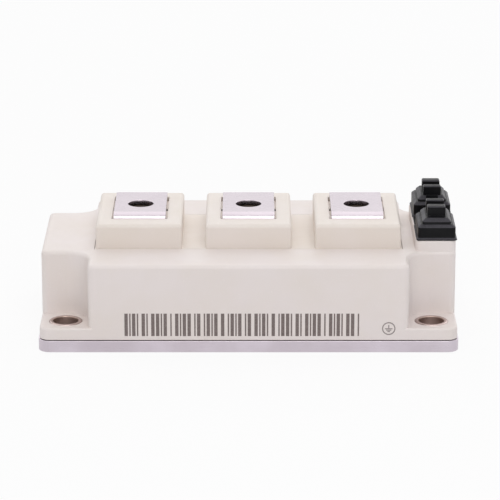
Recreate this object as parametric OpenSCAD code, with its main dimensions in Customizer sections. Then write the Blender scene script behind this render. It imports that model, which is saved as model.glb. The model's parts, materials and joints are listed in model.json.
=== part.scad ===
// Half-bridge power module: flat metal base, moulded housing, three screw
// terminals in a row and four plug tabs at the right-hand end.
// X runs along the row of terminals, -Y is the labelled side, Z is up.
// The origin is the centre of the base plate's underside.

/* [Base plate] */
// Length of the base plate
base_l = 106.4; // [100:0.1:120]
// Width of the base plate
base_w = 61.4; // [57:0.1:70]
// Thickness of the base plate
base_t = 3; // [2:0.1:4]
// Distance of the mounting holes from the edges of the base
hole_edge = 6.7; // [6.3:0.1:7]
// Diameter of the mounting holes
hole_d = 6.4; // [5:0.1:7]

/* [Housing] */
// Height of the housing's flat top
top_z = 22.8; // [21:0.1:26]
// Height of the ears around the mounting holes
ear_z = 6.2; // [5:0.1:10]
// Height of the plug tabs' step above the housing's top
step_h = 2.7; // [2:0.1:5]
// Radius of the screw pockets
pocket_r = 6; // [5.5:0.1:6.4]
// Thickness of the housing's walls
wall = 2.5; // [1.8:0.1:2.6]
// Rounding of the housing's outer top edges
edge_r = 1; // [0.4:0.1:1.4]

/* [Terminal blocks] */
// Gap between neighbouring blocks
block_gap = 6; // [3:0.1:9]
// Depth of each block
block_d = 30.8; // [29:0.1:33]
// Height of the blocks above the housing's top
block_h = 6.3; // [6:0.1:9]
// Height of the captive nuts
nut_h = 5.5; // [4:0.1:6]
// Distance across the flats of the captive nuts
nut_af = 12.4; // [10:0.1:12.6]
// Nominal diameter of the terminal screws
screw_d = 6; // [4:1:6]

/* [Main terminals] */
// Width of the terminal plates
plate_w = 13.4; // [12:0.1:15]
// Thickness of the terminal metal
plate_t = 1.3; // [0.8:0.1:1.5]
// Plastic between a captive nut and the bend of its terminal
slot_web = 1.2; // [0.8:0.1:2.6]
// Reach of a plate from the screw's axis to its free end
plate_back = 10.8; // [8:0.1:12]
// Diameter of the hole in each plate
plate_hole_d = 6.6; // [6.2:0.1:8]

/* [Plug tabs] */
// Distance of the tabs from the end of the housing
tab_edge = 4.9; // [4.8:0.1:5.3]
// Spacing of the two tabs of a pair
tab_pitch = 6; // [5.5:0.1:6.2]
// Width of a tab
tab_w = 2.8; // [2:0.1:3.2]
// Thickness of a tab
tab_t = 0.5; // [0.3:0.1:0.8]
// Length of a tab above the step
tab_h = 5.6; // [4:0.1:6.5]

/* [Shorting caps] */
// Width of a cap's foot, along the module
cap_w = 10.4; // [9.6:0.1:10.8]
// Gap between the two caps
cap_gap = 7; // [5:0.1:8]
// Height of a cap
cap_h = 8; // [7.6:0.1:10]

/* [Power circuit] */
// Gap between the two ceramic substrates
substrate_gap = 5; // [3:0.1:7]
// Gap between a substrate and the end wall beside it
substrate_end = 1.5; // [0.8:0.1:2.5]
// Gap between a substrate and the long walls
substrate_side = 5.9; // [5:0.1:7]
// Thickness of the ceramic
ceramic_t = 0.4; // [0.3:0.1:0.7]
// Thickness of the copper on each face of the ceramic
copper_t = 0.3; // [0.2:0.1:0.5]
// Side of an IGBT chip
igbt_side = 9; // [8:0.1:9]
// Side of a diode chip
diode_side = 6; // [5:0.1:6]
// Diameter of a bond wire
wire_d = 0.3; // [0.2:0.1:0.4]

/* [Hidden] */
$fn = 48;

// Colours
cream = [0.90, 0.87, 0.84];
nickel = [0.78, 0.77, 0.80];
tin = [0.86, 0.84, 0.88];
black = [0.12, 0.12, 0.13];
copper = [0.75, 0.50, 0.35];
white = [0.95, 0.95, 0.93];
silicon = [0.35, 0.37, 0.42];
clear_gel = [0.85, 0.88, 0.85, 0.5];

// Clearances
eps = 0.05;        // over-cut, so that no cut ends flush with a face
slip = 0.15;       // gap round a piece that drops into its seat
tab_play = 0.3;    // extra room of a slot over its tab, both ways
glue_t = 0.2;      // thickness of the adhesive bead
glue_inset = 0.35; // set-back of the bead from the housing's outside

// Base plate and housing outline
base_r = 3;                          // corners of the base plate
hole_x = base_l / 2 - hole_edge;
hole_y = base_w / 2 - hole_edge;
body_inset = 0.3;                    // housing set back from the base
body_l = base_l - 2 * body_inset;
body_w = base_w - 2 * body_inset;
ear_r = base_r - body_inset;         // corners of the ears
corner_r = 1.6;                      // upright edges of the housing
body_z = base_t + glue_t;            // underside of the housing
waist_x = hole_x - pocket_r;         // half length of the full-width part
waist_y = hole_y - pocket_r;         // half width of the ends
step_z = top_z + step_h;
step_edge_r = 0.5;                   // top edges of the step
bushing_wall = 1;
bushing_play = 0.075;                // gap between a bushing and its ear
bushing_r = hole_d / 2 + bushing_wall;
bushing_proud = 0.2;                 // bushing's height above its ear
ear_edge_r = 0.5;                    // top edges of the ears

// Cavity inside the housing
skin = 3.2;                          // thickness of the housing's top
roof_z = top_z - skin;
cavity_x = waist_x - wall;
cavity_y = body_w / 2 - wall;
end_x = body_l / 2 - wall;
end_y = waist_y - wall;

// Lid with the three blocks
lid_t = 1.6;
lid_z = top_z - lid_t;
lid_edge = 1.2;                      // plastic between lid and end face
lid_rim = 0.3;                       // lid's reach beyond the blocks
lid_l = 2 * (waist_x - lid_edge);
lid_w = block_d + 2 * lid_rim;
ledge = 1.4;                         // width of the ledge under the lid
blocks = 3;
block_w = (lid_l - 2 * lid_rim - (blocks - 1) * block_gap) / blocks;
pitch = block_w + block_gap;         // spacing of the main terminals
block_z = top_z + block_h;
block_r = 1.5;                       // upright edges of a block
block_edge_r = 1;                    // top edges of a block
nut_z = block_z - nut_h;             // seat of a nut
screw_play = 0.5;                    // room round the screw below the nut
screw_room = 8;                      // depth of that room
boss_wall = 2.5;
boss_r = screw_d / 2 + screw_play + boss_wall;
boss_floor = 1.5;
boss_z = nut_z - screw_room - boss_floor;
hex_across = 2 / sqrt(3);            // corners over flats of a hexagon
hollow_gap = 1.8;                    // plastic between nut and hollow
hollow_y = nut_af / 2 + slip + hollow_gap;
hollow_roof = 2.1;

// Main terminals
plate_z = block_z + plate_t;
bend_in = 0.6;                       // inside radius of the bends
bend_out = bend_in + plate_t;
slot_side = 0.5;                     // slot's room beside the terminal
plate_front = nut_af / 2 + 2 * slip + slot_web + bend_out; // screw to bend
plate_l = plate_front + plate_back;
groove_w = 0.45;                     // grooves beside a plate
groove_h = 0.5;
relief_l = 2.6;                      // deeper ends of the grooves
relief_h = 1.6;
strip_w = 5;                         // inner strip that reaches the circuit
bar_z = 12;                          // crossbar where the strip starts
bar_h = 4;
foot_l = 5.2;                        // foot soldered to the copper

// Power circuit
substrate_l = cavity_x - substrate_end - substrate_gap / 2;
substrate_w = 2 * (cavity_y - substrate_side);
substrate_x = (substrate_l + substrate_gap) / 2;
ceramic_z = base_t + copper_t;
track_z = ceramic_z + ceramic_t;
chip_z = track_z + copper_t;
chip_t = 0.2;
track_in = 1.5;                      // copper's set-back from the ceramic
track_gap = 1;                       // insulating gap between tracks
track_y = substrate_w / 2 - track_in;
aux_w = 2.4;                         // small tracks under the tab leads
aux_l = 3;
aux_x = track_in - substrate_l / 2;
emitter_w = 7;                       // emitter track
emitter_gap = 2;
emitter_x = substrate_l / 2 - track_in - emitter_w;
gate_l = 2.5;                        // gate pads beyond its ends
emitter_end = track_y - gate_l - track_gap;
collector_x = aux_x + aux_w + track_gap;
collector_w = emitter_x - emitter_gap - collector_x;
chip_inset = 0.5;                    // chips to the track's edge
chip_end = 0.7;                      // chips to the track's ends
chip_gap = 0.6;
chip_x = emitter_x - emitter_gap - chip_inset - igbt_side / 2;
igbt_row = track_y - chip_end - igbt_side / 2;
diode_row = igbt_row - (igbt_side + diode_side) / 2 - chip_gap;
igbt_y = [igbt_row, -igbt_row];
diode_y = [diode_row, diode_row - diode_side - chip_gap];
foot_inset = 0.3;                    // middle foot to its track's edge
foot_mid = substrate_x - emitter_x - emitter_w + foot_inset + strip_w / 2;
foot_x = [-pitch, foot_mid, pitch];

// Bond wires
loop_r = 4;
loop_span = 7;
loop_drop = sqrt(loop_r * loop_r - loop_span * loop_span / 4);
loop_in = 1;                         // wires' landing on the emitter track
loop_x = emitter_x + loop_in - loop_span / 2;
wire_pitch = 1.4;
wire_edge = 0.9;                     // outer wires to the chip's side
igbt_wires = [for (i = [0:3]) i * wire_pitch + wire_edge - igbt_side / 2];
gate_wire = igbt_side / 2 - wire_edge;
diode_wires = [-wire_pitch, 0, wire_pitch];

// Plug tabs and their leads
tab_x = body_l / 2 - tab_edge;
step_rim = 0.2;                      // step's reach beyond the caps' feet
step_inset = 0.4;                    // step's set-back from the end's sides
cap_rim = 0.1;                       // caps' set-back from the step's sides
step_x = tab_x - cap_w / 2 - step_rim;
step_y = waist_y - step_inset;
cap_l = step_y - cap_rim - cap_gap / 2;
cap_y = (cap_gap + cap_l) / 2;
tab_y = [for (s = [-1, 1], t = [-1, 1]) s * cap_y + t * tab_pitch / 2];
shelf_z = 8;                         // shelf that carries the tabs' feet
shelf_l = 6;
tab_foot = 2.5;
tab_top = step_z + tab_h;
lead_d = 0.8;
lead_bow = 0.55;                     // radius of a lead's arch over its span
lead_in = 1;                         // lead's landing on a tab's foot
lead_aside = 1.5;                    // lead's distance from its tab
lead_x0 = substrate_x - aux_x - aux_w / 2;
lead_x1 = tab_x - tab_w / 2 + lead_in;

// Shorting caps
cap_r = 0.8;                         // upright edges of a cap
foot_h = 0.5;                        // lip round the foot
foot_lip = 0.4;
tier_h = 3;                          // upright part of the lower tier
slope_1 = 0.65;                      // bevel above the lower tier
riser_h = 0.85;
slope_2 = 0.9;                       // bevel above the upper tier
back_w = 1.5;                        // upper tier's set-back in width
back_l = 1;                          // upper tier's set-back in length
upper_w = cap_w - 2 * back_w;
upper_l = cap_l - 2 * back_l;
knob_w = 4.6;
knob_l = 3;
knob_edge = 0.35;

// Silicone gel
gel_h = 8;
gel_gap = 0.1;
gel_clear = 0.5;                     // space beside the substrates
gel_room = 3;                        // height of the space over the ceramic

// ---------------------------------------------------------------- shapes

// Rectangle x by y, centred, with corners of radius r
module round_rect(x, y, r) {
  square([x - 2 * r, y], center = true);
  square([x, y - 2 * r], center = true);
  for (sx = [-1, 1], sy = [-1, 1])
    translate([sx * (x / 2 - r), sy * (y / 2 - r)]) circle(r);
}

// Rectangle x by z on the ground line with its two upper corners rounded
module arch_rect(x, z, r) {
  translate([-x / 2, 0]) square([x, z - r]);
  translate([-x / 2 + r, 0]) square([x - 2 * r, z]);
  for (s = [-1, 1]) translate([s * (x / 2 - r), z - r]) circle(r);
}

// Upright post of radius w whose top edge is rounded to radius r
module round_post(w, z, r) {
  rotate_extrude() {
    square([w - r, z]);
    square([w, z - r]);
    intersection() {
      translate([w - r, z - r]) circle(r);
      square([w, z]);
    }
  }
}

// Block x by y by z with upright edges of radius ru and top edges of radius rt
module round_block(x, y, z, ru, rt) {
  for (sx = [-1, 1], sy = [-1, 1])
    translate([sx * (x / 2 - ru), sy * (y / 2 - ru), 0]) round_post(ru, z, rt);
  rotate([90, 0, 0])
    linear_extrude(y - 2 * ru, center = true) arch_rect(x, z, rt);
  rotate([90, 0, 90])
    linear_extrude(x - 2 * ru, center = true) arch_rect(y, z, rt);
}

// Puts its children at the four mounting holes, mirrored to match
module at_corners() {
  for (sx = [0, 1], sy = [0, 1])
    mirror([sx, 0, 0]) mirror([0, sy, 0]) translate([hole_x, hole_y, 0]) children();
}

// ---------------------------------------------------------------- base

module baseplate() {
  color(nickel) difference() {
    linear_extrude(base_t) round_rect(base_l, base_w, base_r);
    at_corners() translate([0, 0, -eps]) cylinder(d = hole_d, h = base_t + 2 * eps);
  }
}

module mount_bushing(sx, sy) {
  h = ear_z + bushing_proud - base_t;
  color(tin) translate([sx * hole_x, sy * hole_y, base_t]) difference() {
    cylinder(r = bushing_r, h = h);
    translate([0, 0, -eps]) cylinder(d = hole_d, h = h + 2 * eps);
  }
}

// ---------------------------------------------------------------- housing

// Plan of the cavity, drawn back by a gap
module cavity_plan(gap = 0) {
  square([2 * (cavity_x - gap), 2 * (cavity_y - gap)], center = true);
  square([2 * (end_x - gap), 2 * (end_y - gap)], center = true);
}

module housing_adhesive() {
  color(black) translate([0, 0, base_t]) linear_extrude(glue_t) difference() {
    round_rect(body_l - 2 * glue_inset, body_w - 2 * glue_inset, ear_r - glue_inset);
    cavity_plan(-glue_inset);
    at_corners() circle(bushing_r + glue_inset);
  }
}

// Hollow curve that joins the waist to the ends round a screw pocket
module pocket_corner() {
  fill = pocket_r + edge_r;
  translate([-fill, -fill, 0]) difference() {
    cube([fill, fill, top_z - body_z]);
    translate([fill, fill, -eps]) cylinder(r = pocket_r, h = top_z);
    translate([fill, fill, top_z - body_z]) rotate_extrude() difference() {
      translate([0, -edge_r]) square([pocket_r + edge_r, edge_r + eps]);
      translate([pocket_r + edge_r, -edge_r]) circle(edge_r);
    }
  }
}

// Outer form of the housing, from its underside up
module housing_form() {
  h = top_z - body_z;
  round_block(2 * waist_x, body_w, h, corner_r, edge_r);
  round_block(body_l, 2 * waist_y, h, corner_r, edge_r);
  at_corners() pocket_corner();
  round_block(body_l, body_w, ear_z - body_z, ear_r, ear_edge_r);
  translate([(step_x + body_l / 2) / 2, 0, 0])
    round_block(body_l / 2 - step_x, 2 * step_y, step_z - body_z, corner_r, step_edge_r);
}

module housing_frame() {
  color(cream) difference() {
    translate([0, 0, body_z]) housing_form();
    translate([0, 0, body_z - eps]) linear_extrude(roof_z - body_z + eps) difference() {
      cavity_plan();
      translate([end_x - shelf_l, -end_y]) square([shelf_l + eps, 2 * end_y]);
    }
    translate([end_x - shelf_l - eps, -end_y, shelf_z])
      cube([shelf_l + eps, 2 * end_y, roof_z - shelf_z]);
    translate([0, 0, roof_z - eps]) linear_extrude(skin + 2 * eps)
      square([lid_l - 2 * ledge, lid_w - 2 * ledge], center = true);
    translate([0, 0, lid_z]) linear_extrude(lid_t + eps)
      square([lid_l + 2 * slip, lid_w + 2 * slip], center = true);
    at_corners() translate([0, 0, body_z - eps])
      cylinder(r = bushing_r + bushing_play, h = ear_z);
    for (y = tab_y) translate([tab_x, y, (roof_z + step_z) / 2])
      cube([tab_w + tab_play, tab_t + tab_play, step_z - roof_z + 2 * eps], center = true);
  }
}

// ---------------------------------------------------------------- lid

// Cuts that one block needs for its nut, screw and terminal
module block_cuts() {
  side_x = (plate_w + groove_w) / 2;
  translate([0, 0, nut_z])
    cylinder(d = (nut_af + 2 * slip) * hex_across, h = nut_h + eps, $fn = 6);
  translate([0, 0, nut_z - screw_room])
    cylinder(r = screw_d / 2 + screw_play, h = screw_room + eps);
  translate([0, bend_out / 2 - plate_front, (block_z + lid_z) / 2])
    cube([plate_w + 2 * slot_side, bend_out + 2 * slip, block_z - lid_z + 2 * eps], center = true);
  for (s = [-1, 1]) {
    translate([s * side_x, plate_back - plate_l / 2, block_z])
      cube([groove_w, plate_l, 2 * groove_h], center = true);
    translate([s * side_x, plate_back - relief_l / 2, block_z])
      cube([groove_w, relief_l, 2 * relief_h], center = true);
  }
  translate([-block_w / 2 + wall, hollow_y, lid_z - eps])
    cube([block_w - 2 * wall, block_d / 2 - wall - hollow_y, block_z - hollow_roof - lid_z]);
}

module terminal_lid() {
  color(cream) difference() {
    union() {
      translate([0, 0, lid_z]) linear_extrude(lid_t) square([lid_l, lid_w], center = true);
      for (i = [-1, 0, 1]) translate([i * pitch, 0, 0]) {
        translate([0, 0, lid_z])
          round_block(block_w, block_d, block_z - lid_z, block_r, block_edge_r);
        translate([0, 0, boss_z]) cylinder(r = boss_r, h = lid_z - boss_z);
      }
    }
    for (i = [-1, 0, 1]) translate([i * pitch, 0, 0]) block_cuts();
  }
}

// ---------------------------------------------------------------- terminals

// Quarter ring from angle a to a + 90, centred on the origin
module quarter_ring(a) {
  rotate(a) intersection() {
    difference() {
      circle(bend_out);
      circle(bend_in);
    }
    square(bend_out);
  }
}

// Side view of a bent terminal strip: plate, riser and soldered foot
module terminal_side() {
  back = -plate_front;
  low = chip_z;
  translate([back + bend_out, plate_z - plate_t])
    square([plate_front + plate_back - bend_out, plate_t]);
  translate([back + bend_out, plate_z - bend_out]) quarter_ring(90);
  translate([back, low + bend_out]) square([plate_t, plate_z - low - 2 * bend_out]);
  translate([back + bend_out, low + bend_out]) quarter_ring(180);
  translate([back + bend_out, low]) square([foot_l, plate_t]);
}

// Front view of terminal i: broad plate, crossbar and narrow strip
module terminal_front(i) {
  x = (i - 1) * pitch;
  left = min(x - plate_w / 2, foot_x[i] - strip_w / 2);
  right = max(x + plate_w / 2, foot_x[i] + strip_w / 2);
  translate([x - plate_w / 2, bar_z]) square([plate_w, plate_z - bar_z + eps]);
  translate([left, bar_z]) square([right - left, bar_h]);
  translate([foot_x[i] - strip_w / 2, 0]) square([strip_w, bar_z + bar_h]);
}

module main_terminal(i) {
  color(tin) difference() {
    intersection() {
      rotate([90, 0, 90]) linear_extrude(base_l, center = true) terminal_side();
      rotate([90, 0, 0]) linear_extrude(base_w, center = true) terminal_front(i);
    }
    translate([(i - 1) * pitch, 0, block_z - eps])
      cylinder(d = plate_hole_d, h = plate_t + 2 * eps);
  }
}

module terminal_nut(i) {
  color(nickel) translate([(i - 1) * pitch, 0, nut_z]) difference() {
    cylinder(d = nut_af * hex_across, h = nut_h, $fn = 6);
    translate([0, 0, -eps]) cylinder(d = screw_d, h = nut_h + 2 * eps);
  }
}

// ---------------------------------------------------------------- tabs

// Direction from a tab towards the long axis
function inward(y) = y > 0 ? -1 : 1;

module plug_tab(i) {
  y = tab_y[i];
  color(tin) translate([tab_x - tab_w / 2, y, shelf_z]) {
    translate([0, -tab_t / 2, 0]) cube([tab_w, tab_t, tab_top - shelf_z]);
    translate([0, min(0, inward(y) * tab_foot), 0]) cube([tab_w, tab_foot, tab_t]);
  }
}

// Arched lead from a track beside the ceramic to the foot of a tab
module tab_lead(y) {
  span = lead_x1 - lead_x0;
  mid = (lead_x0 + lead_x1) / 2;
  r = span * lead_bow;
  foot_top = shelf_z + tab_t;
  translate([0, y, 0]) rotate([90, 0, 0]) linear_extrude(lead_d, center = true) {
    intersection() {
      translate([mid, foot_top - sqrt(r * r - span * span / 4)]) difference() {
        circle(r + lead_d / 2);
        circle(r - lead_d / 2);
      }
      translate([mid - r, foot_top]) square(2 * r);
    }
    translate([lead_x0 - lead_d / 2, chip_z]) square([lead_d, foot_top - chip_z + eps]);
  }
}

module tab_leads() {
  color(copper) for (y = tab_y) tab_lead(y + inward(y) * lead_aside);
}

// ---------------------------------------------------------------- caps

// Slab w by l whose top is drawn in by a bevel of height and depth b
module bevel_slab(w, l, h, b) {
  hull() {
    linear_extrude(h - b) round_rect(w, l, cap_r);
    linear_extrude(h) round_rect(w - 2 * b, l - 2 * b, cap_r / 2);
  }
}

module shorting_cap(side) {
  lower_h = foot_h + tier_h + slope_1;
  upper_h = riser_h + slope_2;
  color(black) translate([tab_x, side * cap_y, step_z]) difference() {
    union() {
      linear_extrude(foot_h) round_rect(cap_w, cap_l, cap_r);
      bevel_slab(cap_w - 2 * foot_lip, cap_l - 2 * foot_lip, lower_h, slope_1);
      translate([0, 0, lower_h]) bevel_slab(upper_w, upper_l, upper_h, slope_2);
      for (s = [-1, 1]) translate([0, s * tab_pitch / 2, lower_h + upper_h])
        bevel_slab(knob_w, knob_l, cap_h - lower_h - upper_h, knob_edge);
    }
    for (s = [-1, 1]) translate([0, s * tab_pitch / 2, (tab_h + tab_play) / 2 - eps])
      cube([tab_w + tab_play, tab_t + tab_play, tab_h + tab_play + eps], center = true);
  }
}

// ---------------------------------------------------------------- circuit

// Moves a pattern to the left or right substrate, mirrored on the right
module at_substrate(side) {
  mirror([side > 0 ? 1 : 0, 0, 0]) translate([-substrate_x, 0, 0]) children();
}

module ceramic(side) {
  color(white) at_substrate(side) translate([0, 0, ceramic_z])
    linear_extrude(ceramic_t) square([substrate_l, substrate_w], center = true);
}

module underside_copper(side) {
  color(copper) at_substrate(side) translate([0, 0, base_t]) linear_extrude(copper_t)
    square([substrate_l - 2 * track_in, substrate_w - 2 * track_in], center = true);
}

module copper_tracks(side) {
  color(copper) at_substrate(side) translate([0, 0, track_z]) linear_extrude(copper_t) {
    translate([collector_x, -track_y]) square([collector_w, 2 * track_y]);
    translate([emitter_x, -emitter_end]) square([emitter_w, 2 * emitter_end]);
    for (s = [-1, 1]) translate([emitter_x, s > 0 ? emitter_end + track_gap : -track_y])
      square([emitter_w, track_y - emitter_end - track_gap]);
    if (side > 0) for (y = tab_y)
      translate([aux_x, y + inward(y) * lead_aside - aux_l / 2]) square([aux_w, aux_l]);
  }
}

module chips(side, rows, size) {
  at_substrate(side) for (y = rows)
    translate([chip_x - size / 2, y - size / 2, chip_z]) cube([size, size, chip_t]);
}

module igbt_chips() {
  color(silicon) for (side = [-1, 1]) chips(side, igbt_y, igbt_side);
}

module diode_chips() {
  color(silicon) for (side = [-1, 1]) chips(side, diode_y, diode_side);
}

// Wire loop from a chip's face down to the track beside it
module bond_loop(y) {
  translate([loop_x, y, 0]) rotate([90, 0, 0]) linear_extrude(wire_d, center = true)
    intersection() {
      translate([0, chip_z + chip_t - loop_drop]) difference() {
        circle(loop_r + wire_d / 2);
        circle(loop_r - wire_d / 2);
      }
      union() {
        translate([-2 * loop_r, chip_z + chip_t]) square([2 * loop_r, 2 * loop_r]);
        translate([0, chip_z]) square([2 * loop_r, 2 * loop_r]);
      }
    }
}

module bond_wires() {
  color(tin) for (side = [-1, 1]) at_substrate(side) {
    for (y = diode_y, dy = diode_wires) bond_loop(y + dy);
    for (y = igbt_y) {
      mirrored = y > 0 ? 1 : -1;
      for (dy = igbt_wires) bond_loop(y + mirrored * dy);
      bond_loop(y + mirrored * gate_wire);
    }
  }
}

module silicone_gel() {
  circuit_l = 2 * (substrate_x + gel_clear) + substrate_l;
  circuit_w = substrate_w + 2 * gel_clear;
  color(clear_gel) difference() {
    translate([0, 0, base_t]) linear_extrude(gel_h)
      square([2 * (cavity_x - gel_gap), 2 * (cavity_y - gel_gap)], center = true);
    translate([0, 0, base_t - eps]) linear_extrude(track_z + gel_room - base_t)
      square([circuit_l, circuit_w], center = true);
    translate([0, 0, base_t - eps]) linear_extrude(gel_h + 2 * eps) {
      for (x = foot_x) translate([x, plate_t / 2 - plate_front])
        square([strip_w + 2 * gel_gap, plate_t + 2 * gel_gap], center = true);
      translate([lead_x0 - aux_w, -end_y]) square([cavity_x, 2 * end_y]);
    }
  }
}

// ---------------------------------------------------------------- parts

baseplate();
housing_adhesive();
housing_frame();
terminal_lid();
mount_bushing(-1, -1);  // mount_bushing_front_left
mount_bushing(1, -1);  // mount_bushing_front_right
mount_bushing(-1, 1);  // mount_bushing_rear_left
mount_bushing(1, 1);  // mount_bushing_rear_right
main_terminal(0);  // main_terminal_1
main_terminal(1);  // main_terminal_2
main_terminal(2);  // main_terminal_3
terminal_nut(0);  // terminal_nut_1
terminal_nut(1);  // terminal_nut_2
terminal_nut(2);  // terminal_nut_3
plug_tab(0);  // plug_tab_1
plug_tab(1);  // plug_tab_2
plug_tab(2);  // plug_tab_3
plug_tab(3);  // plug_tab_4
shorting_cap(-1);  // shorting_cap_front
shorting_cap(1);  // shorting_cap_rear
ceramic(-1);  // ceramic_left
ceramic(1);  // ceramic_right
underside_copper(-1);  // underside_copper_left
underside_copper(1);  // underside_copper_right
copper_tracks(-1);  // copper_tracks_left
copper_tracks(1);  // copper_tracks_right
igbt_chips();
diode_chips();
bond_wires();
tab_leads();
silicone_gel();
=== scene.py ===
# %% [markdown]
# # A half-bridge power module
# This lesson dresses a power module in Blender. The module has a flat metal base, a cream moulded housing,
# three screw terminals on raised blocks and two black caps over its plug tabs. The exact solids are already
# there: we load them, give each one a finish, and remodel the pieces whose edges and small forms catch the light.

# %% Load the exact solids
import json
import math

import bmesh
import bpy
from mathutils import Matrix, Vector


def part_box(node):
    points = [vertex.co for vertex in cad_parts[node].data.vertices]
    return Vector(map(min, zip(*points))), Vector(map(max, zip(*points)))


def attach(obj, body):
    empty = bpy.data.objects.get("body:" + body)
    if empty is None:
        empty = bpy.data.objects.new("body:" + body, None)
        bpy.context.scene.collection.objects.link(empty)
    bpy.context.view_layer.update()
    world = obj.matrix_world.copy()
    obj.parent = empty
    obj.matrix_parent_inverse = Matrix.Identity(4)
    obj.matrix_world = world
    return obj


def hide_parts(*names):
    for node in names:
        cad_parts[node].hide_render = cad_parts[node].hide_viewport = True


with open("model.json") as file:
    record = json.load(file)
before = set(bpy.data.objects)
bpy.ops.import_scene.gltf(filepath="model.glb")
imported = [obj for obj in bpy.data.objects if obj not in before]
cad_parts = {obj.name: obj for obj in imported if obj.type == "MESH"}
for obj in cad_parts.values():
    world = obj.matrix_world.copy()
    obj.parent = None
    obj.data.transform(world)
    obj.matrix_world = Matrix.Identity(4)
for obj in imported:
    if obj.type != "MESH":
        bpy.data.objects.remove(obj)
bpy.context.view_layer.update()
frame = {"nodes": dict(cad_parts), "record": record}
MM = 0.001
print("nodes loaded:", len(frame["nodes"]))

# %% [markdown]
# ## Camera
# The module is seen from in front and a little above, from far away through a long lens, so its upright edges
# stay nearly parallel. A near camera with a short lens would splay them. The camera sits on a circle round the
# middle of the housing, so two numbers, the distance and the elevation, place it.

# %% Place the camera
CAMERA_DISTANCE = 770 * MM
CAMERA_ELEVATION = math.radians(16.9)
AIM = Vector((0, 0, 17.73 * MM))
SENSOR_WIDTH = 36
FOCAL_LENGTH = 212.3
SIDE_SHIFT = 0.003

camera_data = bpy.data.cameras.new("camera")
camera_data.sensor_width = SENSOR_WIDTH
camera_data.lens = FOCAL_LENGTH
camera_data.shift_x = SIDE_SHIFT
camera_data.clip_end = 20
camera = bpy.data.objects.new("camera", camera_data)
bpy.context.scene.collection.objects.link(camera)
camera.location = AIM + CAMERA_DISTANCE * Vector((0, -math.cos(CAMERA_ELEVATION), math.sin(CAMERA_ELEVATION)))
camera.rotation_euler = (math.pi / 2 - CAMERA_ELEVATION, 0, 0)
bpy.context.scene.camera = camera
bpy.context.scene.view_settings.view_transform = "Standard"
print("camera at", [round(c, 3) for c in camera.location])

# %% [markdown]
# ## Light and floor
# A product shot on white uses broad, soft lamps. A wide one hangs overhead and a little behind, the key lamp and a
# low one light the front, two weak ones fill the left end and the back, and the sky adds an even level. The floor
# is a plain pale sheet. The sky is white where the camera sees it, and the floor is lifted most of the way to
# white, so that a soft shadow stays. The light that both throw on the module is weaker than what the camera sees.


# %% Helpers for the surroundings
def larger(tree, one, other):
    """The larger of two values."""
    pick_larger = tree.nodes.new("ShaderNodeMath")
    pick_larger.operation = "MAXIMUM"
    tree.links.new(one, pick_larger.inputs[0])
    tree.links.new(other, pick_larger.inputs[1])
    return pick_larger.outputs[0]


def seen_directly(tree):
    """A value that is 1 for rays from the camera, and for rays in reflections and through glass."""
    path = tree.nodes.new("ShaderNodeLightPath").outputs
    return larger(tree, larger(tree, path["Is Camera Ray"], path["Is Glossy Ray"]), path["Is Transmission Ray"])


def lift_to_white(tree, plain, white, share, out):
    """Mixes a share of white over a plain shader, but only where it is seen directly."""
    white.inputs["Color"].default_value = (1, 1, 1, 1)
    white.inputs["Strength"].default_value = 1
    amount = tree.nodes.new("ShaderNodeMath")
    amount.operation = "MULTIPLY"
    amount.inputs[1].default_value = share
    mix = tree.nodes.new("ShaderNodeMixShader")
    tree.links.new(seen_directly(tree), amount.inputs[0])
    tree.links.new(amount.outputs[0], mix.inputs[0])
    tree.links.new(plain.outputs[0], mix.inputs[1])
    tree.links.new(white.outputs[0], mix.inputs[2])
    tree.links.new(mix.outputs[0], out.inputs[0])


print("surroundings helpers ready")

# %% Build the sky
SKY_LIGHT = 0.44
SKY_COLOUR = (0.96, 0.97, 1.0, 1)

world = bpy.data.worlds.new("studio")
bpy.context.scene.world = world
world.use_nodes = True
sky = world.node_tree
sky.nodes.clear()
plain_sky = sky.nodes.new("ShaderNodeBackground")
plain_sky.inputs["Color"].default_value = SKY_COLOUR
plain_sky.inputs["Strength"].default_value = SKY_LIGHT
white_sky = sky.nodes.new("ShaderNodeBackground")
lift_to_white(sky, plain_sky, white_sky, 1, sky.nodes.new("ShaderNodeOutputWorld"))
print("sky light", SKY_LIGHT)

# %% Hang the lamps
LAMPS = (  # name, place, width, height, power, colour
    ("lamp_over", (0, 0.42, 0.8), 1.6, 1.6, 5.35, (1.0, 0.99, 0.98)),
    ("lamp_key", (0.06, -0.62, 0.62), 0.5, 0.35, 1.8, (1.0, 0.99, 0.98)),
    ("lamp_front", (0.12, -0.95, 0.3), 0.5, 0.4, 0.8, (1.0, 0.98, 0.99)),
    ("lamp_left", (-0.9, -0.1, 0.3), 0.4, 0.35, 0.5, (1.0, 0.99, 0.99)),
    ("lamp_rear", (0.65, 0.75, 0.3), 0.5, 0.5, 0.8, (1.0, 0.99, 0.98)),
)


def softbox(name, place, width, height, power, colour):
    """Adds a rectangular lamp at a place, turned to face the module."""
    lamp_data = bpy.data.lights.new(name, "AREA")
    lamp_data.shape = "RECTANGLE"
    lamp_data.size = width
    lamp_data.size_y = height
    lamp_data.energy = power
    lamp_data.color = colour
    lamp = bpy.data.objects.new(name, lamp_data)
    bpy.context.scene.collection.objects.link(lamp)
    lamp.location = place
    lamp.rotation_euler = (AIM - Vector(place)).to_track_quat("-Z", "Y").to_euler()


for lamp_facts in LAMPS:
    softbox(*lamp_facts)
print("lamps:", len(LAMPS))

# %% Lay the floor
FLOOR_SIZE = 6
FLOOR_COLOUR = (0.86, 0.86, 0.86, 1)
FLOOR_WHITE = 0.89

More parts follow.
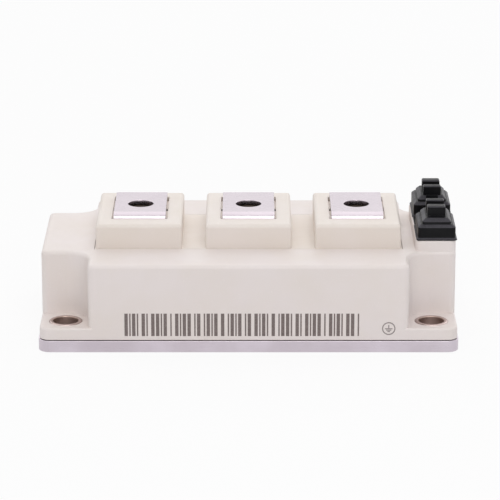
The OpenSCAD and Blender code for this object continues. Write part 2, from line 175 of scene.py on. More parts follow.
bpy.ops.object.select_all(action="DESELECT")
bpy.ops.mesh.primitive_plane_add(size=FLOOR_SIZE, location=(0, 0, 0))
floor = bpy.context.active_object
floor.name = "floor"
floor_paint = bpy.data.materials.new("pale_floor")
floor_paint.use_nodes = True
tree = floor_paint.node_tree
tree.nodes.clear()
sheet = tree.nodes.new("ShaderNodeBsdfDiffuse")
sheet.inputs["Color"].default_value = FLOOR_COLOUR
white_sheet = tree.nodes.new("ShaderNodeEmission")
lift_to_white(tree, sheet, white_sheet, FLOOR_WHITE, tree.nodes.new("ShaderNodeOutputMaterial"))
floor.data.materials.append(floor_paint)
print("floor laid")

# %% [markdown]
# ## Finishes
# Every finish starts from one principled shader and two or three noise patterns, read in the object's own
# coordinates so that a pattern stays put on the piece. A broad noise shifts the colour a little, a
# fine one varies the gloss, and a third lifts the surface as a bump. Photographed textures would need image
# files; patterns made by rule need none.


# %% Helpers for materials
def new_finish(name, colour, roughness, metallic=0.0, specular=0.5):
    """Makes a material with one principled shader and returns it with its tree and shader."""
    finish = bpy.data.materials.new(name)
    finish.use_nodes = True
    nodes = finish.node_tree.nodes
    shader = nodes["Principled BSDF"]
    shader.inputs["Base Color"].default_value = (*colour, 1)
    shader.inputs["Roughness"].default_value = roughness
    shader.inputs["Metallic"].default_value = metallic
    shader.inputs["Specular IOR Level"].default_value = specular
    return finish, finish.node_tree, shader


def noise(tree, size, detail=3.0, stretch=(1, 1, 1)):
    """Adds a noise whose blobs are about size metres across, stretched along the axes."""
    place = tree.nodes.new("ShaderNodeTexCoord")
    turn = tree.nodes.new("ShaderNodeMapping")
    turn.inputs["Scale"].default_value = [1 / (size * s) for s in stretch]
    cloud = tree.nodes.new("ShaderNodeTexNoise")
    cloud.inputs["Scale"].default_value = 1
    cloud.inputs["Detail"].default_value = detail
    tree.links.new(place.outputs["Object"], turn.inputs["Vector"])
    tree.links.new(turn.outputs["Vector"], cloud.inputs["Vector"])
    return cloud.outputs["Fac"]


def ramp(tree, value, low, high, dark, light):
    """Turns a value between low and high into a colour or grey between dark and light."""
    step = tree.nodes.new("ShaderNodeValToRGB")
    step.color_ramp.elements[0].position = low
    step.color_ramp.elements[1].position = high
    step.color_ramp.elements[0].color = (*dark, 1)
    step.color_ramp.elements[1].color = (*light, 1)
    tree.links.new(value, step.inputs["Fac"])
    return step.outputs["Color"]


def grey(level):
    """A grey as a colour."""
    return (level, level, level)


def blend_in(tree, below, above, amount):
    """Mixes one colour over another."""
    mix = tree.nodes.new("ShaderNodeMix")
    mix.data_type = "RGBA"
    tree.links.new(below, mix.inputs["A"])
    tree.links.new(above, mix.inputs["B"])
    tree.links.new(amount, mix.inputs["Factor"])
    return mix.outputs["Result"]


def bump(tree, shader, height, depth, after=None):
    """Lifts the surface by a height pattern, depth metres at most."""
    lifted = tree.nodes.new("ShaderNodeBump")
    lifted.inputs["Strength"].default_value = 1
    lifted.inputs["Distance"].default_value = depth
    tree.links.new(height, lifted.inputs["Height"])
    if after is not None:
        tree.links.new(after, lifted.inputs["Normal"])
    tree.links.new(lifted.outputs["Normal"], shader.inputs["Normal"])
    return lifted.outputs["Normal"]


def dress(finish, *names):
    """Gives loaded solids their finish."""
    for name in names:
        mesh = frame["nodes"][name].data
        mesh.materials.clear()
        mesh.materials.append(finish)
    print(finish.name, "on", len(names))


print("material helpers ready")

# %% [markdown]
# ### Moulded plastic
# The housing and the lid are glass-filled polyester, moulded in cream; the lid comes from another batch and is a
# little warmer. Up close both are a little cloudy, with fine specks where the glass lies near the skin, and a dull,
# even gloss broken by the texture of the mould.

# %% Cream moulding
CREAM_SPECK = (0.900, 0.850, 0.815)


def moulding(name, colour, warm):
    """A cream plastic with warmer clouds, glass specks and the fine grain of a mould."""
    finish, tree, shader = new_finish(name, colour, 0.42, specular=0.45)
    clouds = ramp(tree, noise(tree, 14 * MM, 3), 0.35, 0.68, warm, colour)
    specks = ramp(tree, noise(tree, 0.35 * MM, 2), 0.60, 0.74, grey(0), grey(0.55))
    near_skin = ramp(tree, noise(tree, 3 * MM), 0.4, 0.7, colour, CREAM_SPECK)
    tree.links.new(blend_in(tree, clouds, near_skin, specks), shader.inputs["Base Color"])
    gloss = ramp(tree, noise(tree, 2.2 * MM, 4), 0.3, 0.7, grey(0.36), grey(0.50))
    tree.links.new(gloss, shader.inputs["Roughness"])
    fine = bump(tree, shader, noise(tree, 0.25 * MM, 3), 0.006 * MM)
    bump(tree, shader, noise(tree, 5 * MM, 2), 0.03 * MM, after=fine)
    return finish


housing_cream = moulding("housing_cream", (0.830, 0.762, 0.742), (0.812, 0.740, 0.700))
lid_cream = moulding("lid_cream", (0.835, 0.765, 0.712), (0.815, 0.742, 0.675))
dress(housing_cream, "housing_frame")

# %% [markdown]
# ### Plated metal
# The base is copper plate under nickel: a soft, slightly lilac shine with fine lines from rolling. The terminals
# are copper under bright tin, which shows faint wipe marks. The sleeves of the mounting holes are zinc-plated
# steel, painted darker and browner inside as painted shade, and the nuts are blackened steel.


# %% Metals
def plated(name, colour, wear_and_sheen_patches, rough_low, rough_high, line_size, stretch, lift):
    """A plated metal with drawn-out lines along one axis and cloudy patches."""
    finish, tree, shader = new_finish(name, colour, rough_low, metallic=1.0)
    patches = ramp(tree, noise(tree, 9 * MM, 3), 0.35, 0.7, wear_and_sheen_patches, colour)
    tree.links.new(patches, shader.inputs["Base Color"])
    lines = noise(tree, line_size, 4, stretch)
    tree.links.new(ramp(tree, lines, 0.3, 0.7, grey(rough_low), grey(rough_high)), shader.inputs["Roughness"])
    bump(tree, shader, lines, lift)
    return finish


ALONG = (60, 1, 1)    # lines drawn along the module
WIPED = (40, 1, 1)    # shorter wipe marks
TURNED = (1, 1, 6)    # marks of turning and drawing, up a bore

nickel = plated("nickel_plate", (0.62, 0.56, 0.62), (0.55, 0.49, 0.54),
                0.26, 0.42, 0.12 * MM, ALONG, 0.004 * MM)
tin = plated("tin_plate", (0.545, 0.488, 0.532), (0.510, 0.455, 0.497),
             0.20, 0.32, 0.10 * MM, WIPED, 0.002 * MM)
steel = plated("zinc_plate", (0.58, 0.48, 0.46), (0.48, 0.39, 0.37),
               0.30, 0.45, 0.20 * MM, TURNED, 0.004 * MM)
dark_steel = plated("blackened_steel", (0.060, 0.045, 0.036), (0.036, 0.027, 0.022),
                    0.24, 0.42, 0.20 * MM, TURNED, 0.004 * MM)
# Painted shade: a darker, browner copy of the sleeve metal for the inside of the holes.
painted_shade_bore = plated("painted_shade_bore", (0.500, 0.380, 0.330), (0.350, 0.262, 0.225),
                    0.34, 0.50, 0.20 * MM, TURNED, 0.004 * MM)
dress(tin, "plug_tab_1", "plug_tab_2", "plug_tab_3", "plug_tab_4")

# %% [markdown]
# ### Rubbery black
# The shorting caps are a black, rubbery plastic. Black things are seen by their gloss, so this finish is mostly a
# matter of roughness. The upward slopes are painted a little paler, a painted sheen for the light from above that
# they catch. Where they are is written on the mesh as an attribute, which the finish reads.

# %% Black caps
BLACK = (0.006, 0.006, 0.007)
BLACK_DULL = (0.009, 0.009, 0.010)
# Painted sheen: a paler black for the upward slopes, standing for light from above on them.
BLACK_SHEEN = (0.060, 0.057, 0.066)

cap_black, tree, shader = new_finish("cap_black", BLACK, 0.36, specular=0.10)
tone = ramp(tree, noise(tree, 4 * MM, 3), 0.35, 0.7, BLACK, BLACK_DULL)
painted_sheen = tree.nodes.new("ShaderNodeRGB")
painted_sheen.outputs[0].default_value = (*BLACK_SHEEN, 1)
# The attribute picks the upward slopes; a noise breaks up their painted sheen.
where = tree.nodes.new("ShaderNodeAttribute")
where.attribute_name = "sheen_mask"
wear_and_sheen_patches = ramp(tree, noise(tree, 0.8 * MM, 3), 0.25, 0.6, grey(0.65), grey(1))
amount = tree.nodes.new("ShaderNodeMath")
amount.operation = "MULTIPLY"
tree.links.new(where.outputs["Fac"], amount.inputs[0])
tree.links.new(wear_and_sheen_patches, amount.inputs[1])
tone = blend_in(tree, tone, painted_sheen.outputs[0], amount.outputs[0])
tree.links.new(tone, shader.inputs["Base Color"])
gloss = ramp(tree, noise(tree, 1.5 * MM, 4), 0.3, 0.7, grey(0.30), grey(0.44))
tree.links.new(gloss, shader.inputs["Roughness"])
bump(tree, shader, noise(tree, 0.3 * MM, 3), 0.006 * MM)
print("black finish ready")

# %% [markdown]
# ### Inner circuit
# Nothing inside shows while the module is closed, but someone may open it. The ceramic is matt white, the copper
# has a printed-foil grain, the chips are dark and mirror-like, and the gel over them is clear.


# %% Inner finishes
def simple_pattern(name, colour, second, size, roughness, metallic=0.0, lift=0.005 * MM):
    """A finish with one cloud of colour and a light bump of the same pattern."""
    finish, tree, shader = new_finish(name, colour, roughness, metallic)
    pattern = noise(tree, size, 3)
    tree.links.new(ramp(tree, pattern, 0.35, 0.65, second, colour), shader.inputs["Base Color"])
    bump(tree, shader, pattern, lift)
    return finish


adhesive = simple_pattern("grey_adhesive", (0.10, 0.095, 0.095), (0.06, 0.06, 0.06), 2 * MM, 0.55)
alumina = simple_pattern("white_ceramic", (0.86, 0.86, 0.83), (0.80, 0.80, 0.76), 1 * MM, 0.5)
foil = simple_pattern("copper_foil", (0.78, 0.40, 0.26), (0.66, 0.32, 0.20), 1.5 * MM, 0.3, 1.0)
silicon = simple_pattern("silicon", (0.10, 0.11, 0.14), (0.07, 0.08, 0.10), 3 * MM, 0.15, 0.6, 0.001 * MM)
aluminium = simple_pattern("aluminium_wire", (0.85, 0.85, 0.86), (0.78, 0.78, 0.79), 0.5 * MM, 0.25, 1.0)
gel = simple_pattern("clear_gel", (0.92, 0.95, 0.94), (0.90, 0.93, 0.92), 8 * MM, 0.12)
clear = gel.node_tree.nodes["Principled BSDF"].inputs
clear["Transmission Weight"].default_value = 0.9
clear["IOR"].default_value = 1.4
dress(adhesive, "housing_adhesive")
dress(gel, "silicone_gel")
dress(silicon, "igbt_chips", "diode_chips")
dress(aluminium, "bond_wires")
dress(alumina, "ceramic_left", "ceramic_right")
dress(foil, "tab_leads", "underside_copper_left", "underside_copper_right", "copper_tracks_left",
      "copper_tracks_right")

# %% [markdown]
# ## Modelling by hand
# The solids have true sizes but knife-sharp edges. Real plate, plastic and rubber have broken edges, and those
# thin bright lines are what makes a piece look solid. Where a piece is seen closely, we model it again, inside
# the same box, and let the new piece stand for the solid. First come a few helpers, because every operator acts
# on what is selected, and the loaded solids start out selected.


# %% Helpers for modelling
MERGE = 0.001 * MM    # points nearer than this are one
TINY = 0.01 * MM      # room for rounding when points and faces are picked by place


def deselect():
    """Leaves edit mode and deselects everything."""
    if bpy.context.object and bpy.context.object.mode != "OBJECT":
        bpy.ops.object.mode_set(mode="OBJECT")
    bpy.ops.object.select_all(action="DESELECT")


def activate(piece):
    """Makes a piece the only selected object."""
    deselect()
    piece.select_set(True)
    bpy.context.view_layer.objects.active = piece


def edit(piece, kind="FACE"):
    """Opens a piece for editing with nothing selected."""
    activate(piece)
    bpy.ops.object.mode_set(mode="EDIT")
    bpy.ops.mesh.select_mode(type=kind)
    bpy.ops.mesh.select_all(action="DESELECT")


def pick(piece, test, kind="FACE"):
    """Selects the faces or edges of the open piece that pass a test."""
    mesh = bmesh.from_edit_mesh(piece.data)
    for part in mesh.faces if kind == "FACE" else mesh.edges:
        part.select_set(bool(test(part)))
    mesh.select_flush_mode()
    bmesh.update_edit_mesh(piece.data)


def on_level(height):
    """A test for faces that lie flat at a height."""
    return lambda face: abs(face.calc_center_median().z - height) < TINY and abs(face.normal.z) > 0.9


def select_all():
    """Selects the whole of the open piece."""
    bpy.ops.mesh.select_all(action="SELECT")


def cut_across(place, direction, **cut):
    """Cuts the whole of the open piece by a plane."""
    select_all()
    bpy.ops.mesh.bisect(plane_co=place, plane_no=direction, **cut)


def lift(rise):
    """Extrudes what is selected straight up."""
    bpy.ops.mesh.extrude_region_move(TRANSFORM_OT_translate={"value": (0, 0, rise)})


def widen(along_x, along_y, centre):
    """Scales what is selected about a point."""
    bpy.ops.transform.resize(value=(along_x, along_y, 1), center_override=centre)


def fix_place():
    """Moves the active object's place and size into its mesh."""
    bpy.ops.object.transform_apply(location=True, rotation=True, scale=True)


def break_edges(piece, width, segments=2, angle=40):
    """Rounds every edge sharper than an angle."""
    activate(piece)
    rounding = piece.modifiers.new("broken_edges", "BEVEL")
    rounding.width = width
    rounding.segments = segments
    rounding.limit_method = "ANGLE"
    rounding.angle_limit = math.radians(angle)
    bpy.ops.object.modifier_apply(modifier=rounding.name)


def hand_in(piece, name, slot, finish, *nodes, smooth=35):
    """Names a piece, dresses it, and lets it ride with the module in place of the solids named.

    Normals weighted by face size keep broad flat faces evenly bright next to a narrow bevel.
    """
    edit(piece)
    select_all()
    bpy.ops.mesh.normals_make_consistent(inside=False)
    activate(piece)
    bpy.ops.object.shade_smooth_by_angle(angle=math.radians(smooth))
    even_shine = piece.modifiers.new("even_shine", "WEIGHTED_NORMAL")
    even_shine.keep_sharp = True
    bpy.ops.object.modifier_apply(modifier=even_shine.name)
    piece.name = name
    piece.data.name = name
    piece.data.materials.clear()
    piece.data.materials.append(finish)
    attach(piece, "root")
    if nodes:
        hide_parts(*nodes)
    deselect()
    print(name, len(piece.data.polygons), "faces")


print("modelling helpers ready")

# %% [markdown]
# ### Base and terminals
# The base and the three bent terminals keep their form; only their edges are too sharp. A copy of each solid
# saves drawing them again. A loaded solid is a heap of loose triangles, so the copy is merged, its flat faces are
# made whole, and then a bevel breaks every sharp edge. The solid itself is left alone and only hidden.


# %% Copies with broken edges
FLATNESS = math.radians(0.5)
BASE_EDGE = 0.12 * MM
SHEET_EDGE = 0.14 * MM


def eased_copy(node):
    """A copy of a solid, merged into whole faces."""
    piece = frame["nodes"][node].copy()
    piece.data = piece.data.copy()
    for key in list(piece.keys()):    # the loader's notes belong to the solid only
        del piece[key]
    piece.parent = None
    bpy.context.scene.collection.objects.link(piece)
    edit(piece)
    select_all()
    bpy.ops.mesh.remove_doubles(threshold=MERGE)
    bpy.ops.mesh.customdata_custom_splitnormals_clear()
    bpy.ops.mesh.dissolve_limited(angle_limit=FLATNESS)
    deselect()
    return piece


base = eased_copy("baseplate")
break_edges(base, BASE_EDGE, 3)
hand_in(base, "base_plate", "nickel_plate", nickel, "baseplate")
for number in (1, 2, 3):
    sheet_metal = eased_copy(f"main_terminal_{number}")
    break_edges(sheet_metal, SHEET_EDGE, 3, 50)
    hand_in(sheet_metal, f"screw_terminal_{number}", "tin_plate", tin, f"main_terminal_{number}")

# %% [markdown]
# ### Lid
# The upright edges of the three terminal blocks are crisp, while their top edges are well rounded. On the solid
# both are round. Each upright edge is a stack of quarter rings, so we take them corner by corner and ring by
# ring: a ring is drawn together about the corner's axis and then pushed out until it meets the walls again.

# %% The lid with crisp blocks
LID_RIM = 0.3 * MM
BLOCK_CORNER = 1.5 * MM
CRISP_CORNER = 0.6 * MM
LEAST_CORNER = 0.1 * MM

lid = eased_copy("terminal_lid")
low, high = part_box("terminal_lid")
block_foot = max(point.co.z for point in lid.data.vertices if point.co.x > high.x - TINY)
block_middles = [sum(end.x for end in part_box(f"terminal_nut_{number}")) / 2 for number in (1, 2, 3)]
axis_x = high.x - LID_RIM - max(block_middles) - BLOCK_CORNER
axis_y = high.y - LID_RIM - BLOCK_CORNER


def corner_reach(point, axis, side):
    """How far a point of one corner lies from the corner's axis, or 0 for a point elsewhere."""
    across = point.x - axis.x
    along = point.y - axis.y
    reach = math.hypot(across, along)
    in_corner = across * side[0] > -TINY and along * side[1] > -TINY and point.z > axis.z - TINY
    return reach if in_corner and TINY < reach < BLOCK_CORNER + TINY else 0


def tighten(piece, members, axis, side, old):
    """Draws one quarter ring together about its axis and pushes it out to the walls again."""
    new = max(CRISP_CORNER - (BLOCK_CORNER - old), LEAST_CORNER)
    mesh = bmesh.from_edit_mesh(piece.data)
    for point in mesh.verts:
        point.select_set(point.index in members)
    bmesh.update_edit_mesh(piece.data)
    widen(new / old, new / old, axis)
    push = old - new
    bpy.ops.transform.translate(value=(side[0] * push, side[1] * push, 0))


edit(lid, "VERT")
ring_count = 0
for middle_x in block_middles:
    for side in ((-1, -1), (-1, 1), (1, -1), (1, 1)):
        axis = Vector((middle_x + side[0] * axis_x, side[1] * axis_y, block_foot))
        rings = {}
        mesh = bmesh.from_edit_mesh(lid.data)
        mesh.verts.index_update()
        for point in mesh.verts:
            reach = corner_reach(point.co, axis, side)
            if reach:
                rings.setdefault(round(reach / TINY), set()).add(point.index)
        for ring, members in rings.items():
            tighten(lid, members, axis, side, ring * TINY)
        ring_count += len(rings)
deselect()
print("rings drawn together:", ring_count)
hand_in(lid, "raised_lid", "cream_plastic", lid_cream, "terminal_lid")

# %% [markdown]
# ### Sleeves
# A thin metal sleeve lines each mounting hole, so that the screw's force goes into metal and not into plastic.
# Its upper rim is rolled over a little. It is a turned shape: we draw a ring of points and extrude it through the
# profile, point by point, which leaves even faces. The bore is painted darker and browner than the rim, a painted
# shade for the inside of the hole, so it takes a second finish.


# %% Turned rings
def turned_ring(centre, profile, steps=64):
    """Extrudes a circle through a closed profile of (radius, height) points."""
    radius, height = profile[0]
    foot = Vector((centre.x, centre.y, height))
    deselect()
    bpy.ops.mesh.primitive_circle_add(vertices=steps, radius=radius, location=foot)
    fix_place()
    ring = bpy.context.active_object
    edit(ring, "EDGE")
    select_all()
    for next_radius, next_height in profile[1:] + profile[:1]:
        lift(next_height - height)
        widen(next_radius / radius, next_radius / radius, (centre.x, centre.y, next_height))
        radius, height = next_radius, next_height
    select_all()
    bpy.ops.mesh.remove_doubles(threshold=MERGE)
    deselect()
    return ring


def rounded(radius, height, size, start, steps=5):
    """Points of a quarter circle that ends a wall, from one angle on through 90 degrees."""
    turn = [math.radians(start + 90 * i / steps) for i in range(steps + 1)]
    return [(radius + size * math.cos(a), height + size * math.sin(a)) for a in turn]


print("ring helpers ready")

# %% Four sleeves
HOLE_RADIUS = frame["record"]["mounts"][1]["dims"]["hole_r_mm"] * MM
RIM_OUTER = 0.35 * MM
RIM_INNER = 0.30 * MM

for place in ("front_left", "front_right", "rear_left", "rear_right"):
    low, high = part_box(f"mount_bushing_{place}")
    middle = (low + high) / 2
    outer = (high.x - low.x) / 2
    profile = [(HOLE_RADIUS, low.z), (outer, low.z)]
    profile += rounded(outer - RIM_OUTER, high.z - RIM_OUTER, RIM_OUTER, 0)
    profile += rounded(HOLE_RADIUS + RIM_INNER, high.z - RIM_INNER, RIM_INNER, 90)
    sleeve = turned_ring(middle, profile)
    hand_in(sleeve, f"sleeve_{place}", "nickel_plate", steel, f"mount_bushing_{place}")
    # The faces of the bore take the painted shade.
    sleeve.data.materials.append(painted_shade_bore)
    for face in sleeve.data.polygons:
        reach = math.hypot(face.center.x - middle.x, face.center.y - middle.y)
        if reach < HOLE_RADIUS + RIM_INNER / 3:
            face.material_index = 1

# %% [markdown]
# ### Captive nuts
# Under each terminal plate a nut lies in a pocket and waits for the screw. We turn it first and give it its flats
# afterwards: a ring with chamfered rims, cut by six planes. The thread is a small triangle that the screw modifier
# carries round and up.

# %% Nuts with a thread
NUT_CHAMFER = 0.6 * MM
NUT_STEPS = 72
THREAD_PITCH = 1.0 * MM
THREAD_START = 0.75 * MM
THREAD_TOOTH = 0.36 * MM
THREAD_ROOT = 0.05 * MM
THREAD_STEPS = 32


def thread_ridge(radius, start, turns):
    """Winds a triangle inside a bore about the origin, and closes its two ends."""
    deselect()
    place = (radius + THREAD_ROOT - THREAD_TOOTH / 2, 0, start)
    turn = (math.pi / 2, -math.pi / 2, 0)
    bpy.ops.mesh.primitive_circle_add(vertices=3, radius=THREAD_TOOTH, location=place, rotation=turn)
    fix_place()
    ridge = bpy.context.active_object
    winding = ridge.modifiers.new("winding", "SCREW")
    winding.axis = "Z"
    winding.angle = 2 * math.pi
    winding.screw_offset = THREAD_PITCH
    winding.iterations = turns
    winding.steps = winding.render_steps = THREAD_STEPS
    bpy.ops.object.modifier_apply(modifier=winding.name)
    edit(ridge)
    select_all()
    bpy.ops.mesh.fill_holes(sides=3)
    deselect()
    return ridge


for number in (1, 2, 3):
    low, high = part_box(f"terminal_nut_{number}")
    middle = (low + high) / 2
    corner = (high.x - low.x) / 2
    flat = (high.y - low.y) / 2
    bore = frame["record"]["mounts"][1 + number]["dims"]["r_mm"] * MM
    profile = [(bore, low.z + NUT_CHAMFER), (bore + NUT_CHAMFER, low.z), (flat, low.z)]
    profile += [(corner, low.z + NUT_CHAMFER), (corner, high.z - NUT_CHAMFER), (flat, high.z)]
    profile += [(bore + NUT_CHAMFER, high.z), (bore, high.z - NUT_CHAMFER)]
    nut = turned_ring(middle, profile, NUT_STEPS)
    edit(nut)
    for side in range(6):
        angle = math.radians(60 * side + 30)
        out = Vector((math.cos(angle), math.sin(angle), 0))
        cut_across(middle + flat * out, out, use_fill=True, clear_outer=True)
    deselect()
    ridge = thread_ridge(bore, low.z + THREAD_START, int((high.z - low.z) / THREAD_PITCH) - 1)
    edit(ridge)
    select_all()
    bpy.ops.transform.translate(value=(middle.x, middle.y, 0))
    activate(nut)
    ridge.select_set(True)
    bpy.ops.object.join()
    hand_in(nut, f"captive_nut_{number}", "nickel_plate", dark_steel, f"terminal_nut_{number}")

# %% [markdown]
# ### Shorting caps
# Each cap is a stepped block: a foot with a lip, a lower tier, a narrower upper tier and two knobs to pull it by.
# A mould makes it in one piece, and so do we. The top face of a thin slab is lifted and drawn in by turns: lifting
# alone gives a wall, both together give a slope, and drawing in alone gives a ledge. Cuts then part the top into
# fields, so that two of them rise as knobs and two of the underside are pushed up as slots for the tabs.

# %% Tiers of a cap
CAP_CORNER = 0.80 * MM
CAP_EDGE = 0.12 * MM
FOOT_WALL = 0.25 * MM
LIP_IN = 0.40 * MM
LIP_UP = 0.35 * MM
LOWER_WALL = 2.70 * MM
LOWER_SLOPE = 0.65 * MM
UPPER_LEDGE_X = 0.45 * MM
UPPER_LEDGE_Y = 0.25 * MM
UPPER_WALL = 0.65 * MM
UPPER_SLOPE = 0.85 * MM
TIERS = (  # how far the top rises, and how far each side draws in along x and y
    (LIP_UP, LIP_IN, LIP_IN),
    (LOWER_WALL, 0, 0),
    (LOWER_SLOPE, LOWER_SLOPE, LOWER_SLOPE),
    (0, UPPER_LEDGE_X, UPPER_LEDGE_Y),
    (UPPER_WALL, 0, 0),
    (UPPER_SLOPE, UPPER_SLOPE, UPPER_SLOPE),
)


def slab(low, high):
    """A box between two corners."""
    deselect()
    bpy.ops.mesh.primitive_cube_add(size=1, location=(low + high) / 2)
    piece = bpy.context.active_object
    piece.scale = high - low
    fix_place()
    return piece


low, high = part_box("shorting_cap_front")
middle = (low + high) / 2
half_x = (high.x - low.x) / 2
half_y = (high.y - low.y) / 2
ledge = low.z + FOOT_WALL
cap = slab(low, Vector((high.x, high.y, ledge)))
edit(cap, "EDGE")
pick(cap, lambda edge: abs(edge.verts[0].co.z - edge.verts[1].co.z) > FOOT_WALL / 2, "EDGE")
bpy.ops.mesh.bevel(offset=CAP_CORNER, segments=5)
bpy.ops.mesh.select_mode(type="FACE")
pick(cap, on_level(ledge))
for rise, in_x, in_y in TIERS:
    lift(rise)
    widen((half_x - in_x) / half_x, (half_y - in_y) / half_y, middle)
    half_x -= in_x
    half_y -= in_y
    ledge += rise
print("tiers:", len(TIERS))

# %% Knobs and slots
KNOB_HALF_X = 2.30 * MM
KNOB_HALF_Y = 1.30 * MM
KNOB_EDGE = 0.25 * MM
SLOT_PLAY = 0.15 * MM
SLOPE_LEAST = 0.35
SLOPE_MOST = 0.93

tab_boxes = [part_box(f"plug_tab_{number}") for number in (1, 2, 3, 4)]
tabs = [(a, b) for a, b in tab_boxes if low.y < a.y < high.y]
slot_x = (tabs[0][0].x - SLOT_PLAY, tabs[0][1].x + SLOT_PLAY)
slot_y = [(a.y - SLOT_PLAY, b.y + SLOT_PLAY) for a, b in tabs]
knob_x = (middle.x - KNOB_HALF_X, middle.x + KNOB_HALF_X)
knob_y = [((a + b) / 2 - KNOB_HALF_Y, (a + b) / 2 + KNOB_HALF_Y) for a, b in slot_y]
for x in slot_x + knob_x:
    cut_across((x, 0, 0), (1, 0, 0))
for y in [end for pair in slot_y + knob_y for end in pair]:
    cut_across((0, y, 0), (0, 1, 0))


def within(height, span_x, spans_y):
    """A test for faces on a level that lie inside one of some rectangles."""
    def test(face):
        centre = face.calc_center_median()
        inside = span_x[0] < centre.x < span_x[1] and any(a < centre.y < b for a, b in spans_y)
        return inside and on_level(height)(face)
    return test


pick(cap, within(ledge, knob_x, knob_y))
lift(high.z - ledge - KNOB_EDGE)
bpy.ops.mesh.inset(thickness=KNOB_EDGE, depth=KNOB_EDGE)
pick(cap, within(low.z, slot_x, slot_y))
lift(max(b.z for a, b in tabs) + SLOT_PLAY - low.z)
break_edges(cap, CAP_EDGE, 3, 30)
# Upward slopes are marked for the black finish's painted sheen.
sheen_mask = cap.data.attributes.new("sheen_mask", "FLOAT", "FACE")
for face in cap.data.polygons:
    sheen_mask.data[face.index].value = 1.0 if SLOPE_LEAST < face.normal.z < SLOPE_MOST else 0.0
print("tabs under the front cap:", len(tabs))

# %% [markdown]
# The second cap is the first one's mirror image. A thin black web lies between the feet of the two, where
# shade falls between the caps, so the web is painted shade; it is a strip with a raised rim.

# %% The second cap and the web
WEB_GAP = 0.05 * MM
WEB_BELOW_LIP = 0.1 * MM
WEB_RIM = 0.6 * MM
WEB_HOLLOW = 0.25 * MM

twin = cap.copy()
twin.data = cap.data.copy()
bpy.context.scene.collection.objects.link(twin)
edit(twin)
select_all()
bpy.ops.transform.mirror(constraint_axis=(False, True, False), center_override=(0, 0, 0))

# Painted shade: a dark strip put between the caps' feet where shade falls.
web_top = low.z + FOOT_WALL + LIP_UP - WEB_BELOW_LIP
web = slab(Vector((low.x + LIP_IN / 2, high.y + WEB_GAP, low.z)),
           Vector((high.x - LIP_IN / 2, -high.y - WEB_GAP, web_top)))
edit(web)
pick(web, on_level(web_top))
bpy.ops.mesh.inset(thickness=WEB_RIM)
lift(-WEB_HOLLOW)
break_edges(web, CAP_EDGE / 2, 2, 30)
hand_in(web, "shade_web", "black_rubber", cap_black)
hand_in(cap, "rubber_cap_front", "black_rubber", cap_black, "shorting_cap_front", smooth=30)
hand_in(twin, "rubber_cap_rear", "black_rubber", cap_black, "shorting_cap_rear", smooth=30)

# %% [markdown]
# ### Marks on the front
# The front wall carries a bar code and, at its right end, the sign for protective earth. Both are burnt into the
# plastic by a laser, so they are hardly thicker than paint. The bars are one strip cut across by many planes, with
# every second piece taken away. Their widths follow a simple rule and say nothing.


# %% Finishes for the marks
def laser_burn(name, dark, light):
    """A matt, scorched brown that is a little uneven."""
    finish, tree, shader = new_finish(name, dark, 0.6, specular=0.3)
    burnt = noise(tree, 0.3 * MM, 3)
    tree.links.new(ramp(tree, burnt, 0.3, 0.7, dark, light), shader.inputs["Base Color"])
    bump(tree, shader, burnt, 0.004 * MM)
    return finish


deep_burn = laser_burn("deep_burn", (0.160, 0.128, 0.120), (0.235, 0.195, 0.185))
light_burn = laser_burn("light_burn", (0.270, 0.235, 0.225), (0.360, 0.315, 0.305))
print("laser marks: 2 finishes")

# %% Bars
WALL_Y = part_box("housing_frame")[0].y
MARK_DEPTH = 0.02 * MM
BARS_FROM = -31.3 * MM
BARS_TO = 27.9 * MM
BARS_LOW = 4.25 * MM
BARS_HIGH = 10.2 * MM
BAR_COUNT = 51
WIDE_BAR = 2.4    # times a narrow one


def upright_sheet(x0, x1, z0, z1):
    """A flat rectangle on the front wall."""
    deselect()
    bpy.ops.mesh.primitive_plane_add(size=1, rotation=(math.pi / 2, 0, 0))
    sheet = bpy.context.active_object
    sheet.scale = (x1 - x0, z1 - z0, 1)
    sheet.location = ((x0 + x1) / 2, WALL_Y, (z0 + z1) / 2)
    fix_place()
    return sheet


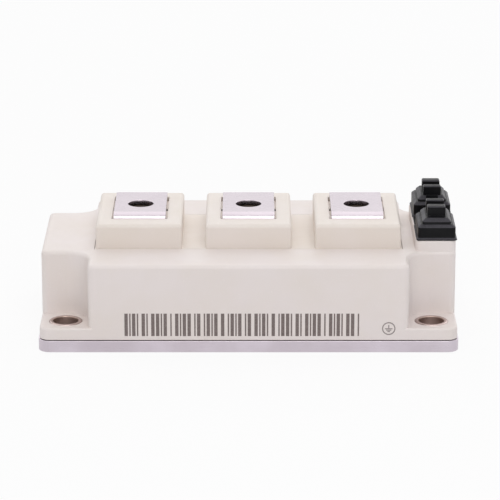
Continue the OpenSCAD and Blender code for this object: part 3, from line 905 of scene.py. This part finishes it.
def thicken(piece):
    """Gives a flat mark its thickness, out from the wall."""
    activate(piece)
    body = piece.modifiers.new("body", "SOLIDIFY")
    body.thickness = MARK_DEPTH
    body.offset = 1
    bpy.ops.object.modifier_apply(modifier=body.name)


widths = []
for step in range(2 * BAR_COUNT - 1):
    wide = (step * step * 5 + step * 3) % 7 < 2 if step % 2 == 0 else (step * step * 3 + step) % 11 < 3
    widths.append(WIDE_BAR if wide else 1.0)
unit = (BARS_TO - BARS_FROM) / sum(widths)
bars = upright_sheet(BARS_FROM, BARS_TO, BARS_LOW, BARS_HIGH)
edges = [BARS_FROM]
for width in widths:
    edges.append(edges[-1] + width * unit)
edit(bars)
for edge in edges[1:-1]:
    cut_across((edge, WALL_Y, 0), (1, 0, 0))
gaps = list(zip(edges[1:-1:2], edges[2::2]))
pick(bars, lambda face: any(a < face.calc_center_median().x < b for a, b in gaps))
bpy.ops.mesh.delete(type="FACE")
thicken(bars)
hand_in(bars, "bar_marks", "cream_plastic", deep_burn)

# %% The earth sign
SIGN_X = 35.4 * MM
SIGN_Z = 6.24 * MM
SIGN_RADIUS = 1.7 * MM
SIGN_RING = 0.29 * MM
SIGN_STROKE = 0.261 * MM
SIGN_STEM = 0.98 * MM
SIGN_BARS = (  # half length, and depth below the sign's middle
    (0.95 * MM, 0.05 * MM),
    (0.64 * MM, 0.42 * MM),
    (0.33 * MM, 0.79 * MM),
)

deselect()
bpy.ops.mesh.primitive_circle_add(vertices=64, radius=SIGN_RADIUS, fill_type="NGON", rotation=(math.pi / 2, 0, 0))
sign = bpy.context.active_object
sign.location = (SIGN_X, WALL_Y, SIGN_Z)
fix_place()
edit(sign)
select_all()
bpy.ops.mesh.inset(thickness=SIGN_RING)
bpy.ops.mesh.delete(type="FACE")
thin = SIGN_STROKE / 2
strokes = [(thin, thin - SIGN_BARS[0][1], SIGN_STEM)]
strokes += [(half, -depth - thin, -depth + thin) for half, depth in SIGN_BARS]
parts = [upright_sheet(SIGN_X - half, SIGN_X + half, SIGN_Z + a, SIGN_Z + b) for half, a, b in strokes]
activate(sign)
for part in parts:
    part.select_set(True)
bpy.ops.object.join()
thicken(sign)
hand_in(sign, "earth_sign", "cream_plastic", light_burn)
